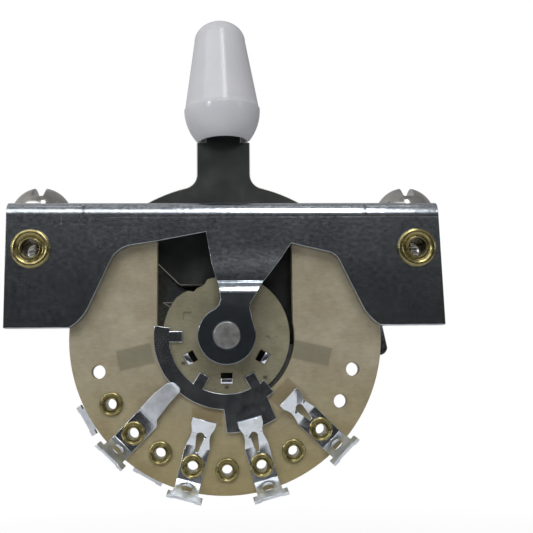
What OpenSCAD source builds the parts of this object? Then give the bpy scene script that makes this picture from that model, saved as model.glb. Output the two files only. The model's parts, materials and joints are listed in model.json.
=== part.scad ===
// Guitar pickup selector switch: a lever turns a wafer rotor past eight contact clips.
// Row frame: origin on the panel face midway between the two panel screws, +X right, +Y back, +Z up.
// Pieces are drawn about the shaft, with y = 0 on the front face of the frame, and moved there at the end.

/* [Frame] */
// Distance from each panel screw to the end of the frame
end_margin = 2.71; // [2.3:0.01:4]
// Thickness of the frame's steel sheet
sheet = 1.27; // [1:0.01:1.4]
// Depth of the flange, from the front face to the back face
flange_d = 11.1; // [10.8:0.1:13]
// Outer radius of the two folds
fold_r = 1.5; // [1.45:0.05:1.8]
// Height of the panel face above the shaft
shaft_drop = 14.55; // [14:0.05:16]
// Height of the wing bottoms above the shaft
wing_bottom = 1; // [0.5:0.1:2]
// Width of each wing at its foot
wing_foot_w = 6.85; // [6:0.05:8]
// Radius of the lower inner corners of the wings
wing_corner_r = 4.8; // [4:0.1:5.5]
// Lower edge of the web between the wings, above the shaft
web_low = 9; // [8.8:0.05:9.2]
// Radius of the fillet between the right wing and the web
web_fillet_r = 1.7; // [1.4:0.1:2]
// Radius of the fillet between the left wing and the web
left_fillet_r = 2.95; // [2.6:0.05:3.2]
// How far the right wing's outer edge slants out at its foot, and in at its fold
wing_flare = 0.17; // [0.1:0.01:0.3]
// Forward step of the tongue that carries the shaft
tongue_step = 1.3; // [1.1:0.05:1.6]
// Lean of the tongue above its step, which clears the rotor
tongue_lean = 0.18; // [0.16:0.01:0.25]
// Height of the foot of the tongue's joggle above the shaft
joggle_z = 4.38; // [4.2:0.01:4.6]
// Inner radius of the two bends of the joggle
joggle_r = 0.15; // [0.1:0.01:0.2]
// Radius of the round end of the tongue
tongue_end_r = 3.05; // [2.8:0.05:3.3]
// Radius of the hub at the foot of the rear leg
rear_hub_r = 3.4; // [3:0.1:4]
// Length of the lever slot in the flange
slot_l = 26.6; // [25.5:0.1:29]
// Width of the lever slot in the flange
slot_w = 3.2; // [2.6:0.1:3.8]

/* [Panel screws] */
// Distance between the two panel screws
screw_pitch = 41.275; // [40.5:0.005:42]
// Distance of the screws behind the front face
screw_setback = 5.6; // [5.4:0.05:5.8]
// Outer radius of the screw thread
screw_r = 1.75; // [1.6:0.05:1.9]
// Radius of the screw where it is engaged in the tapped flange
engaged_r = 1.5; // [1.3:0.05:1.55]
// Length of the screw under its head
screw_l = 9.5; // [8:0.1:11]
// Radius of the domed screw head
head_r = 3.3; // [2.9:0.05:3.5]
// Height of the domed screw head
head_h = 2.55; // [2.2:0.05:2.8]
// Width of the driver slot
driver_w = 1.15; // [0.8:0.05:1.4]
// Depth of the driver slot
driver_d = 1.35; // [1:0.05:1.6]

/* [Wafer] */
// Radius of the round part of the stator wafer
wafer_r = 16.7; // [16.4:0.05:17.2]
// Thickness of the stator wafer
wafer_t = 1.6; // [1.4:0.05:1.8]
// Distance of the left edge of the opening above the rotor from the shaft
mouth_left = 7.4; // [7.3:0.01:7.5]
// Distance of the right edge of that opening from the shaft
mouth_right = 7.15; // [7.1:0.01:7.3]
// Gap between the rotor and the round part of that opening
rotor_gap = 0.5; // [0.3:0.05:0.5]
// Margin of the wafer past the circle that the clip rivets stand on
rivet_margin = 2.66; // [2.5:0.01:2.8]
// Angle between neighbouring stations on that circle
station_step = 15; // [14.5:0.1:15]
// Radius of the spare holes
spare_hole_r = 0.73; // [0.5:0.01:0.9]
// Distance from each panel screw to the end of the wafer's ears
ear_margin = 2.31; // [2.2:0.01:2.5]
// Lower edge of the ears above the shaft
ear_low = 6.4; // [6:0.1:7]
// Upper edge of the ears above the shaft
ear_high = 12.7; // [12.2:0.05:12.8]

/* [Rotor] */
// Radius of the rotor disc
rotor_r = 6.8; // [6.7:0.05:6.9]
// How far each face of the rotor stands proud of the wafer
rotor_proud = 0.1; // [0.05:0.01:0.15]
// Thickness of the contact clips and the shorting rings
strip_t = 0.3; // [0.2:0.01:0.34]
// Inner radius of the shorting rings
ring_in = 6.1; // [5.9:0.05:6.3]
// Outer radius of the shorting rings
ring_out = 7.75; // [7.4:0.05:7.9]
// Outer radius of the wide blade of the rings
blade_out = 10.2; // [9.9:0.05:10.3]
// Inner radius of the legs of the ring tabs
tab_leg_r = 4.72; // [4.6:0.01:4.8]
// Width of the ring tabs
tab_w = 1.15; // [0.9:0.05:1.2]
// Length of a rear tab's staked end, along the radius
stake_l = 0.55; // [0.4:0.05:0.6]
// Length of the rear tabs' slots, along the radius
long_slot_l = 1.1; // [0.8:0.05:1.2]

/* [Contact clips] */
// Width of the base of a clip
clip_w = 2.6; // [2.4:0.05:2.8]
// Margin of a clip's base past its rivet on the side of the rotor
clip_lead = 0.84; // [0.7:0.01:0.9]
// Margin of a clip's base past its rivet on the side of its lug
clip_trail = 0.42; // [0.3:0.01:0.5]
// Length of a throw clip's ramp, along the clip
ramp_l = 0.95; // [0.8:0.05:1]
// Length of a throw clip's flat contact, along the clip
contact_l = 0.5; // [0.4:0.05:0.6]
// Length of a throw clip's head
head_l = 1.45; // [1.3:0.05:1.5]
// Forward flare of that head, in degrees
head_flare = 12; // [6:1:16]
// Height of the ridge along the middle of that head
head_ridge = 0.16; // [0.1:0.01:0.2]
// Length of the solder lug from its fold
lug_l = 4.8; // [4.5:0.1:5.2]
// Width of the bar at the end of the solder lug
lug_bar_w = 3.6; // [3.3:0.05:3.7]
// Width of the wire hole in the solder lug
wire_hole_w = 1.1; // [0.9:0.05:1.3]
// Length of the wire hole
wire_hole_l = 2.1; // [1.6:0.1:2.4]
// Gap between a clip's jaw and the ring that runs under it
jaw_gap = 0.05; // [0.03:0.01:0.1]
// Bore of the small eyelets that rivet the clips
rivet_bore_r = 0.56; // [0.4:0.01:0.6]
// Outer radius of the barrel of the small eyelets
rivet_barrel_r = 0.74; // [0.7:0.01:0.8]
// Radius of the flange of the small eyelets
rivet_flange_r = 1.25; // [1.1:0.01:1.35]

/* [Wing eyelets] */
// Height of the wing eyelets above the shaft
eyelet_z = 9.38; // [9:0.01:9.8]
// Bore of the wing eyelets
eyelet_bore_r = 0.97; // [0.8:0.01:1]
// Outer radius of the barrel of the wing eyelets
eyelet_barrel_r = 1.25; // [1.2:0.01:1.4]
// Radius of the flange of the wing eyelets
eyelet_flange_r = 2.08; // [1.9:0.01:2.2]

/* [Lever] */
// Thickness of the lever plate
lever_t = 1.5; // [1.2:0.05:1.7]
// How far the fan, the neck and the tip stand left of the shaft
neck_shift = 0.2; // [0:0.05:0.3]
// Radius of the fan that closes the slot
fan_r = 17.5; // [17:0.05:17.8]
// Half angle of the fan on each side of the neck
fan_half = 60; // [55:1:62]
// Width of the neck
neck_w = 6.05; // [5.4:0.05:6.4]
// Height of the neck's shoulders above the shaft
shoulder_z = 22.3; // [21.8:0.1:22.4]
// Width of the tang inside the tip
tang_w = 4; // [3.4:0.1:4.2]
// Length of the tang above the shoulders
tang_l = 8.5; // [6:0.1:10]
// Radius of the fillets between the neck and the fan
neck_fillet_r = 1.6; // [1:0.1:2]
// Half swing of the lever, on each side of the middle
swing = 30; // [28:1:30]

/* [Tip] */
// Height of the tip's rim above the shaft
tip_z = 22.5; // [22.45:0.05:23]
// Overall height of the tip
tip_h = 14.3; // [13.5:0.1:15]
// Lean of the tip to the left, in degrees
tip_lean = 1.6; // [0:0.1:2]
// Largest radius of the tip
tip_r = 4.36; // [4.1:0.02:4.6]
// Radius of the tip just under its round top
tip_top_r = 2.95; // [2.6:0.05:3.2]
// Height of the round top
tip_round_h = 2.4; // [2:0.1:2.8]
// Radius of the tip's bottom rim
tip_rim_r = 2.9; // [2.85:0.05:3.2]
// Height of the crease above the rim
crease_h = 3.75; // [3.5:0.05:4.2]
// Depth of the step at the crease
crease_step = 0.06; // [0.04:0.01:0.12]
// Wall at the rim of the tip
tip_wall = 0.35; // [0.3:0.05:0.5]

/* [Shaft] */
// Radius of the two journals of the shaft
journal_r = 1.4; // [1.35:0.01:1.5]
// Running clearance of the journals and of the pins
running = 0.05; // [0.03:0.01:0.08]
// Radius of the flatted middle of the shaft
core_r = 2; // [1.8:0.05:2.1]
// Half the distance between the flats
flat_half = 1.5; // [1.5:0.05:1.6]
// Radius of the collars and the spacer
collar_r = 2.6; // [2.4:0.05:2.7]

/* [Detent] */
// Radius of the crests of the index edge
crest_r = 8.8; // [8.6:0.05:9]
// Depth of the index notches
notch_depth = 0.45; // [0.35:0.05:0.5]
// Radius of the detent roller
roller_r = 1.1; // [1.05:0.05:1.2]
// Width of the detent roller
roller_w = 1.7; // [1.6:0.05:1.8]
// Radius of the roller's pin
roller_pin_r = 0.5; // [0.4:0.05:0.6]
// Gap between the roller and the crests at rest
crest_gap = 0.06; // [0.05:0.01:0.1]
// Distance of the arm's pivot to the right of the shaft
arm_pivot_x = 12.5; // [12.2:0.1:12.8]
// Thickness of the detent arm
arm_t = 1.2; // [1:0.05:1.3]
// Radius of the arm's pivot rivet
arm_pivot_r = 1.1; // [0.9:0.05:1.2]
// Length of the arm past its roller
arm_tail = 4; // [3.8:0.1:4.4]

/* [Spring] */
// Radius of the spring wire
wire_r = 0.22; // [0.18:0.01:0.24]
// Mean radius of the coil
coil_r = 1.02; // [0.9:0.01:1.05]
// Number of turns of the coil
coil_turns = 16; // [10:1:20]

/* [Hidden] */
$fn = 64;
tiny = 0.01;

// Widths that follow from the panel screws, and the span of a clip's base along its radius
frame_w = screw_pitch + 2 * end_margin;
ear_span = screw_pitch + 2 * ear_margin;
rivet_circle_r = wafer_r - rivet_margin;
clip_in = rivet_circle_r - rivet_flange_r - clip_lead;
ramp_end = clip_in - ramp_l;
leg_end = ramp_end - contact_l;
jaw_rise = strip_t + rotor_proud + jaw_gap;
common_reach = ring_out - 0.4;
lug_fold_r = rivet_circle_r + rivet_flange_r + clip_trail;

// Depths along y, from the front face backwards
wafer_y = sheet;
wafer_back_y = wafer_y + wafer_t;
wafer_mid_y = wafer_y + wafer_t / 2;
rotor_y = wafer_y - rotor_proud;
rotor_back_y = wafer_back_y + rotor_proud;
tongue_back_y = sheet - tongue_step;
lever_y = screw_setback - 0.1 - lever_t / 2;
lever_back_y = lever_y + lever_t;
lever_mid_y = lever_y + lever_t / 2;
rear_leg_y = flange_d - sheet;

// Stations of the front and rear clips, in steps of angle from straight down, positive to the right
front_stations = [-2.95, -1, 1, 3];
rear_stations = [2, 0, -2, -4];
spare_stations = [-5, 4, 5];
// Lean of each solder lug from the plane of the wafer
front_leans = [76, 76, 76, 76];
rear_leans = [76, 76, 66, 60];
// Slots of the rotor that each ring's tabs use, in steps of 30 degrees
tab_step = 30;
front_tabs = [-3, -1, 1];
rear_tabs = [-2, 0, 2];
tab_leg_t = 0.3;
slot_fit = 0.05;

// The index edge faces the roller, whose arm stands square to the line from the shaft to the roller
track_r = crest_r + crest_gap + roller_r;
arm_l = sqrt(pow(arm_pivot_x, 2) - pow(track_r, 2));
index_dir = -acos(track_r / arm_pivot_x);
arm_dir = index_dir - 90;
notch_step = swing / 2;
notch_r = roller_r + running;
arm_y = lever_back_y + 0.55;
arm_back_y = arm_y + arm_t;
roller_y = lever_mid_y - roller_w / 2;
roller_at = [track_r * cos(index_dir), track_r * sin(index_dir)];
hook_at = roller_at + arm_tail * [cos(arm_dir), sin(arm_dir)];
hook_hole_r = 0.6;
anchor_at = [-12.4, 1.4];
spring_y = arm_back_y + 0.15;

// Points of an arc about c, from angle a0 to a1
function arc(c, r, a0, a1, n = 8) =
    [for (i = [0:n]) c + r * [cos(a0 + (a1 - a0) * i / n), sin(a0 + (a1 - a0) * i / n)]];

// A sheet outline in x and z, given thickness from y0 backwards
module plate(y0, t) {
    translate([0, y0 + t, 0])
        rotate([90, 0, 0])
            linear_extrude(t)
                children();
}

// A section in y and z, given length along x from x0
module strip(x0, w) {
    translate([x0, 0, 0])
        rotate([90, 0, 90])
            linear_extrude(w)
                children();
}

// A round bar along y, from y0 to y1
module bar(r, y0, y1) {
    translate([0, y1, 0])
        rotate([90, 0, 0])
            cylinder(r = r, h = y1 - y0);
}

// A wedge of the plane between two angles from straight down
module wedge(a0, a1, reach = 30) {
    polygon(concat([[0, 0]], arc([0, 0], reach, a0 - 90, a1 - 90, 12)));
}

// Turns a piece drawn at the foot of the wafer to its station
module at_station(angle) {
    rotate([0, -angle, 0])
        children();
}

// Turns a piece of the front face over to the rear face of the wafer
module on_rear() {
    translate([0, 2 * wafer_mid_y, 0])
        mirror([0, 1, 0])
            children();
}

// A wing's inner edge, drawn on the right: a round lower corner, a slant and a fillet into the web
function wing_edge(fillet, fillet_r, a0, a1) =
    let (foot = [frame_w / 2 - wing_foot_w, wing_bottom],
         corner = foot + wing_corner_r * [cos(60), sin(60)])
    concat(arc(corner, wing_corner_r, 240, 205), arc(fillet, fillet_r, a0, a1));

// The left fillet is wider and ends higher than the right one
module front_outline() {
    top = shaft_drop - fold_r;
    right = wing_edge([10.64, web_low - web_fillet_r], web_fillet_r, 27, 78.5);
    left = wing_edge([9.6, web_low + 0.8 - left_fillet_r], left_fillet_r, 25, 82);
    polygon(concat([[frame_w / 2 - wing_flare, top], [frame_w / 2 + wing_flare, wing_bottom]], right,
                   [[7, web_low + 0.9], [-2.16, 11.17], [-7.5, web_low + 1.15]],
                   [for (i = [len(left) - 1:-1:0]) [-left[i][0], left[i][1]]],
                   [[-frame_w / 2, wing_bottom], [-frame_w / 2, top]]));
}

module tongue_outline() {
    polygon([[-2.4, shaft_drop - fold_r], [-2.16, 11.17], [-1.64, 8.1], [-1.43, 7.2], [-1.12, 6.2],
             [-0.84, 5.1], [-0.7, 4.4], [-0.64, 3.8], [-0.78, 3.3], [-1.15, 2.83], [-1, 0], [1, 0],
             [2.75, 1.3], [2.6, 2.1], [2.46, 2.8], [2.5, 3.35], [3.25, 4.55], [3.95, 5.74], [5.76, 8.07],
             [7, web_low + 0.9], [7.3, shaft_drop - fold_r]]);
    circle(r = tongue_end_r);
}

// Section of the tongue: a slight lean clear of the rotor, a joggle of two equal bends, then flat.
// The front face turns on the small radius above and on the large one below; the back face, the other way.
module tongue_section() {
    outer_r = joggle_r + sheet;
    turn = acos(1 - (tongue_step - tongue_lean) / (joggle_r + outer_r));
    top_z = joggle_z + (joggle_r + outer_r) * sin(turn);
    function bends(y0, z0, r0, z1, r1) = concat(
        arc([y0 - tongue_lean - r0, z0], r0, 0, -turn, 8),
        arc([y0 - tongue_step + r1, z1], r1, 180 - turn, 180, 12));
    leaning = [[0, shaft_drop - fold_r], [0, web_low + 0.6], [-tongue_lean, rotor_r + 0.1]];
    front = concat(leaning, bends(0, top_z, joggle_r, joggle_z, outer_r), [[-tongue_step, -tongue_end_r - 1]]);
    back = concat([for (p = leaning) p + [sheet, 0]], bends(sheet, top_z, outer_r, joggle_z, joggle_r),
                  [[sheet - tongue_step, -tongue_end_r - 1]]);
    polygon(concat(front, [for (i = [len(back) - 1:-1:0]) back[i]]));
}

// Section of the flange and its two folds
module fold_section() {
    inner_r = fold_r - sheet;
    difference() {
        union() {
            translate([fold_r, shaft_drop - sheet])
                square([flange_d - 2 * fold_r, sheet]);
            for (y = [fold_r, flange_d - fold_r])
                translate([y, shaft_drop - fold_r])
                    circle(r = fold_r);
        }
        translate([sheet, shaft_drop - 2 * fold_r - 1])
            square([flange_d - 2 * sheet, fold_r + 1]);
        translate([-1, shaft_drop - 2 * fold_r - 1])
            square([flange_d + 2, fold_r + 1]);
        for (y = [fold_r, flange_d - fold_r])
            translate([y, shaft_drop - fold_r])
                circle(r = inner_r);
        translate([fold_r, shaft_drop - fold_r - 1])
            square([flange_d - 2 * fold_r, 1 + inner_r]);
    }
}

module rear_outline() {
    top = shaft_drop - fold_r;
    polygon(concat([[-16.6, top]],
                   arc([-14.6, 1.2], 2, 180, 270, 6),
                   [[-11.4, -0.8]],
                   arc([-9.6, 3.2], 2.2, 225, 270, 4),
                   [[0, 1], [8.8, 1]],
                   arc([11.2, -0.2], 1.8, 200, 270, 6),
                   arc([18.1, -1.05], 0.95, 270, 355, 6),
                   [[18.55, 1.4], [18.4, 4], [18.4, top]]));
    circle(r = rear_hub_r);
}

module frame() {
    color([0.36, 0.38, 0.42])
    difference() {
        union() {
            strip(-frame_w / 2, frame_w - wing_flare)
                fold_section();
            plate(0, sheet)
                front_outline();
            intersection() {
                plate(-tongue_step - 1, tongue_step + sheet + 2)
                    tongue_outline();
                strip(-10, 20)
                    tongue_section();
            }
            plate(rear_leg_y, sheet)
                rear_outline();
        }
        bar(journal_r + running, -tongue_step - 1, flange_d + 1);
        translate([-slot_l / 2 + slot_w / 2, lever_mid_y - slot_w / 2, shaft_drop - sheet - 1])
            cube([slot_l - slot_w, slot_w, sheet + 2]);
        for (side = [-1, 1]) {
            translate([side * (slot_l - slot_w) / 2, lever_mid_y, shaft_drop - sheet - 1])
                cylinder(d = slot_w, h = sheet + 2);
            translate([side * screw_pitch / 2, screw_setback, shaft_drop - sheet - 1])
                cylinder(r = engaged_r + running, h = sheet + 2);
            translate([side * screw_pitch / 2, 0, eyelet_z])
                bar(eyelet_barrel_r, -1, sheet + 1);
            // small dent pressed into the front fold
            translate([side * 15.25, 0.3 * fold_r, shaft_drop - 0.3 * fold_r])
                rotate([45, 0, 0])
                    cylinder(r1 = 0.12, r2 = 0.36, h = 0.5);
        }
        translate([arm_pivot_x, 0, 0])
            bar(arm_pivot_r, rear_leg_y - 1, flange_d + 1);
        translate([anchor_at[0], 0, anchor_at[1]])
            bar(hook_hole_r, rear_leg_y - 1, flange_d + 1);
    }
}

// A rolled eyelet with its flange forward of y = 0 and its barrel running back through the grip
module eyelet(bore_r, barrel_r, flange_r, grip) {
    wall = barrel_r - bore_r;
    flange_t = 1.5 * wall;
    rotate([90, 0, 0])
        rotate_extrude() {
            // section: bore, rolled lip, dished flange with its rim, barrel and clenched tail
            polygon(concat([[bore_r, -grip - wall]],
                           arc([bore_r + wall / 2, flange_t], wall / 2, 180, 20, 6),
                           [[barrel_r + wall / 2, flange_t * 0.7], [flange_r - wall / 2, flange_t],
                            [flange_r, wall / 2], [flange_r - wall / 2, 0], [barrel_r, 0],
                            [barrel_r, -grip], [flange_r - 1.6 * wall, -grip],
                            [flange_r - 1.2 * wall, -grip - wall / 2],
                            [flange_r - 1.8 * wall, -grip - wall], [bore_r + wall / 2, -grip - 1.25 * wall]]));
        }
}

module wing_eyelet(side) {
    color([0.78, 0.62, 0.28])
    translate([side * screw_pitch / 2, 0, eyelet_z])
        eyelet(eyelet_bore_r, eyelet_barrel_r, eyelet_flange_r, sheet + wafer_t);
}

module panel_screw(side) {
    dome_r = (pow(head_r, 2) + pow(head_h, 2)) / (2 * head_h);
    color([0.62, 0.6, 0.57])
    translate([side * screw_pitch / 2, screw_setback, shaft_drop]) {
        difference() {
            intersection() {
                translate([0, 0, head_h - dome_r])
                    sphere(r = dome_r);
                cylinder(r = head_r, h = head_h + 1);
            }
            translate([-driver_w / 2, -head_r - 1, head_h - driver_d])
                cube([driver_w, 2 * head_r + 2, driver_d + 1]);
        }
        translate([0, 0, -sheet - 0.1])
            cylinder(r = engaged_r, h = sheet + 0.1 + tiny);
        translate([0, 0, 0.5 - screw_l])
            cylinder(r = screw_r, h = screw_l - 0.5 - sheet - 0.05);
        translate([0, 0, -screw_l])
            cylinder(r1 = screw_r - 0.5, r2 = screw_r, h = 0.5);
    }
}

module wafer_outline() {
    difference() {
        union() {
            circle(r = wafer_r);
            translate([-ear_span / 2, ear_low])
                square([ear_span, ear_high - ear_low]);
        }
        circle(r = rotor_r + rotor_gap);
        translate([-mouth_left, 0])
            square([mouth_left + mouth_right, wafer_r + 1]);
        translate([-wafer_r, ear_high])
            square([2 * wafer_r, wafer_r]);
    }
}

module stator_wafer() {
    color([0.72, 0.66, 0.5])
    difference() {
        plate(wafer_y, wafer_t)
            wafer_outline();
        for (side = [-1, 1])
            translate([side * screw_pitch / 2, 0, eyelet_z])
                bar(eyelet_barrel_r, wafer_y - 1, wafer_back_y + 1);
        for (s = concat(front_stations, rear_stations))
            at_station(s * station_step)
                translate([0, 0, -rivet_circle_r])
                    bar(rivet_barrel_r, wafer_y - 1, wafer_back_y + 1);
        for (s = spare_stations)
            at_station(s * station_step)
                translate([0, 0, -rivet_circle_r])
                    bar(spare_hole_r, wafer_y - 1, wafer_back_y + 1);
    }
}

// A strip of the clips' thickness behind a front edge
module strip_section(path) {
    front = [for (p = path) p + [wafer_y - strip_t, 0]];
    back = [for (i = [len(front) - 1:-1:0]) front[i] + [strip_t, 0]];
    polygon(concat(front, back));
}

// Section of a throw clip's base, ramp and flat contact
module throw_section() {
    strip_section([[0, -lug_fold_r], [0, -clip_in], [-jaw_rise, -ramp_end], [-jaw_rise, -leg_end]]);
}

// Section of a common clip: base, a short ramp, a sloping arm, a flat contact and a curled tip
module common_section() {
    strip_section([[0, -lug_fold_r], [0, -clip_in], [-jaw_rise / 2, -clip_in + 0.6],
                   [-jaw_rise, -ring_out - 0.4], [-jaw_rise, -common_reach - 0.3],
                   [-jaw_rise - 0.18, -common_reach]]);
}

// The slot between a throw clip's legs, narrow at the rivet and round at the head
module leg_slot() {
    foot = rivet_circle_r - rivet_flange_r - 0.2;
    top = leg_end + 0.34;
    translate([0, -top])
        circle(r = 0.42);
    polygon([[-0.15, -foot], [-0.42, -top], [0.42, -top], [0.15, -foot]]);
}

// A throw clip's outline: base and two waisted legs
module throw_outline() {
    waist = clip_w / 2 - 0.27;
    difference() {
        union() {
            translate([-clip_w / 2, -lug_fold_r])
                square([clip_w, lug_fold_r - clip_in]);
            polygon([[-clip_w / 2, -clip_in - tiny], [-waist, -ramp_end], [-waist, -leg_end], [waist, -leg_end],
                     [waist, -ramp_end], [clip_w / 2, -clip_in - tiny]]);
        }
        leg_slot();
    }
}

// A throw clip's head: a plate with a ridge along its middle, wider than the legs and flared forward
module throw_head() {
    waist = clip_w / 2 - 0.27;
    half = clip_w / 2;
    intersection() {
        translate([0, wafer_y - strip_t - jaw_rise, -leg_end - 0.1])
            rotate([head_flare, 0, 0])
                linear_extrude(head_l + 0.1)
                    polygon([[-half, 0], [0, -head_ridge], [half, 0], [half, strip_t], [0, strip_t - head_ridge],
                             [-half, strip_t]]);
        plate(wafer_y - 3, 4)
            difference() {
                polygon([[-waist, -leg_end - 1], [-waist, -leg_end + 0.1], [-half, -leg_end + 0.8],
                         [-half, -leg_end + head_l + 1], [half, -leg_end + head_l + 1], [half, -leg_end + 0.8],
                         [waist, -leg_end + 0.1], [waist, -leg_end - 1]]);
                leg_slot();
            }
    }
}

// A common clip's outline: base and one narrowed arm that reaches the ring
module common_outline() {
    translate([-clip_w / 2, -lug_fold_r])
        square([clip_w, lug_fold_r - clip_in]);
    polygon([[-clip_w / 2, -clip_in - tiny], [-clip_w / 2 - 0.05, -9.6], [-1.08, -common_reach - 0.5],
             [-0.75, -common_reach - 0.1], [-0.4, -common_reach], [0.2, -common_reach],
             [0.5, -common_reach - 0.25], [0.53, -9.1], [0.77, -clip_in + 0.65], [clip_w / 2, -clip_in],
             [clip_w / 2, -clip_in - tiny]]);
}

module lug_outline() {
    difference() {
        union() {
            translate([-clip_w / 2, -lug_l])
                square([clip_w, lug_l]);
            translate([-lug_bar_w / 2, -lug_l + 0.1])
                square([lug_bar_w, 0.85]);
            for (side = [-1, 1])
                translate([side * (lug_bar_w / 2 - 0.35) - 0.35, -lug_l - 0.2])
                    square([0.7, 1.35]);
        }
        translate([0, -0.9 - wire_hole_w / 2]) {
            circle(d = wire_hole_w);
            translate([0, wire_hole_w - wire_hole_l])
                circle(d = wire_hole_w);
            translate([-wire_hole_w / 2, wire_hole_w - wire_hole_l])
                square([wire_hole_w, wire_hole_l - wire_hole_w]);
        }
    }
}

module clip(lean, common) {
    color([0.8, 0.81, 0.84])
    difference() {
        union() {
            intersection() {
                plate(wafer_y - 3, 4) {
                    if (common)
                        common_outline();
                    else
                        throw_outline();
                }
                strip(-clip_w, 2 * clip_w) {
                    if (common)
                        common_section();
                    else
                        throw_section();
                }
            }
            if (!common)
                throw_head();
            translate([0, wafer_y - strip_t / 2, -lug_fold_r]) {
                rotate([-lean, 0, 0])
                    plate(-strip_t / 2, strip_t)
                        lug_outline();
                translate([-clip_w / 2, 0, 0])
                    rotate([0, 90, 0])
                        cylinder(d = strip_t, h = clip_w);
            }
        }
        translate([0, 0, -rivet_circle_r])
            bar(rivet_barrel_r, wafer_y - 2, wafer_y + 1);
    }
}

module front_clip(i) {
    at_station(front_stations[i] * station_step)
        clip(front_leans[i], i == 0);
}

module rear_clip(i) {
    on_rear()
        at_station(rear_stations[i] * station_step)
            clip(rear_leans[i], i == 0);
}

module front_rivet(i) {
    color([0.78, 0.62, 0.28])
    at_station(front_stations[i] * station_step)
        translate([0, wafer_y - strip_t, -rivet_circle_r])
            eyelet(rivet_bore_r, rivet_barrel_r, rivet_flange_r, wafer_t + strip_t);
}

module rear_rivet(i) {
    color([0.78, 0.62, 0.28])
    at_station(rear_stations[i] * station_step)
        translate([0, wafer_y, -rivet_circle_r])
            eyelet(rivet_bore_r, rivet_barrel_r, rivet_flange_r, wafer_t + strip_t);
}

module rotor_disc() {
    color([0.62, 0.55, 0.36])
    difference() {
        plate(rotor_y, rotor_back_y - rotor_y)
            difference() {
                circle(r = rotor_r);
                intersection() {
                    circle(r = core_r + 0.02);
                    square([2 * core_r + 1, 2 * flat_half + 0.04], center = true);
                }
                // chipped stretch of the rim
                polygon([[-0.9, rotor_r + 0.6], [-1.1, 6.4], [-2.02, 6.17], [-2.38, 5.54], [-3.18, 5.19],
                         [-3.45, 4.83], [-4.16, 4.92], [-4.57, 4.74], [-5.2, 4.3], [-6.2, 5.4]]);
            }
        for (s = front_tabs)
            tab_slot(s, tab_leg_t);
        for (s = rear_tabs)
            tab_slot(s, long_slot_l);
        // two shallow marks pressed by the jig
        translate([-4.62, rotor_y - 1, 1.83])
            cube([0.9, 1.12, 0.8]);
        for (x = [4.22, 5.21])
            translate([x, rotor_y - 1, -0.32])
                cube([0.34, 1.12, 0.32]);
    }
}

// A slot of the rotor at a tab's station, this long inwards from the back of the tab's leg
module tab_slot(station, l) {
    at_station(station * tab_step)
        translate([-tab_w / 2 - slot_fit, rotor_y - 1, -tab_leg_r - tab_leg_t - slot_fit])
            cube([tab_w + 2 * slot_fit, rotor_back_y - rotor_y + 2, l + 2 * slot_fit]);
}

// A shorting ring on the front face of the rotor, from angle a0 to a1, with a blade from angle b onwards
module shorting_ring(a0, a1, b, tabs, stake) {
    color([0.66, 0.68, 0.74]) {
        plate(rotor_y - strip_t, strip_t) {
            intersection() {
                difference() {
                    circle(r = ring_out);
                    circle(r = ring_in);
                }
                wedge(a0, a1);
            }
            rotate(b)
                intersection() {
                    difference() {
                        circle(r = blade_out);
                        circle(r = ring_out - 0.5);
                    }
                    polygon([[-0.55, -6], [0.06, -11], [6.18, -11], [4.07, -6]]);
                }
        }
        for (s = tabs)
            at_station(s * tab_step) {
                translate([-tab_w / 2, rotor_y - strip_t, -ring_in - 0.2])
                    cube([tab_w, strip_t, ring_in + 0.2 - tab_leg_r]);
                translate([-tab_w / 2, rotor_y - strip_t, -tab_leg_r - tab_leg_t])
                    cube([tab_w, rotor_back_y - rotor_y + strip_t + 0.1, tab_leg_t]);
                if (stake)
                    translate([-tab_w / 2, rotor_back_y - 0.3, -tab_leg_r - tab_leg_t])
                        cube([tab_w, 0.4, stake_l]);
            }
    }
}

module front_ring() {
    shorting_ring(-99, 40, 0, front_tabs, false);
}

module rear_ring() {
    on_rear()
        shorting_ring(-66, 83, -46, rear_tabs, true);
}

// Turned shaft: journals at both ends, a collar behind the tongue and a flatted core
module shaft() {
    color([0.4, 0.41, 0.42]) {
        bar(journal_r, -tongue_step - 0.3, rotor_y);
        bar(collar_r, tongue_back_y + 0.1, rotor_y);
        intersection() {
            bar(core_r, rotor_y - tiny, lever_back_y);
            translate([-core_r, rotor_y - tiny, -flat_half])
                cube([2 * core_r, lever_back_y - rotor_y + tiny, 2 * flat_half]);
        }
        bar(collar_r, lever_back_y, rear_leg_y - 0.1);
        bar(journal_r, rear_leg_y - 0.2, flange_d + 0.3);
    }
}

module rotor_spacer() {
    color([0.72, 0.7, 0.62])
    difference() {
        bar(collar_r, rotor_back_y, lever_y);
        bar(core_r + 0.02, rotor_back_y - 1, lever_y + 1);
    }
}

// The concave fillet between the neck and the fan, on the right side
module neck_fillet() {
    x = neck_w / 2 + neck_fillet_r;
    z = sqrt(pow(fan_r + neck_fillet_r, 2) - pow(x, 2));
    touch = [x, z] * fan_r / (fan_r + neck_fillet_r);
    difference() {
        polygon([[neck_w / 2 - 0.5, z], [neck_w / 2 - 0.5, touch[1] - 1], [touch[0], touch[1] - 0.6],
                 touch, [x, z]]);
        translate([x, z])
            circle(r = neck_fillet_r);
    }
}

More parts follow.
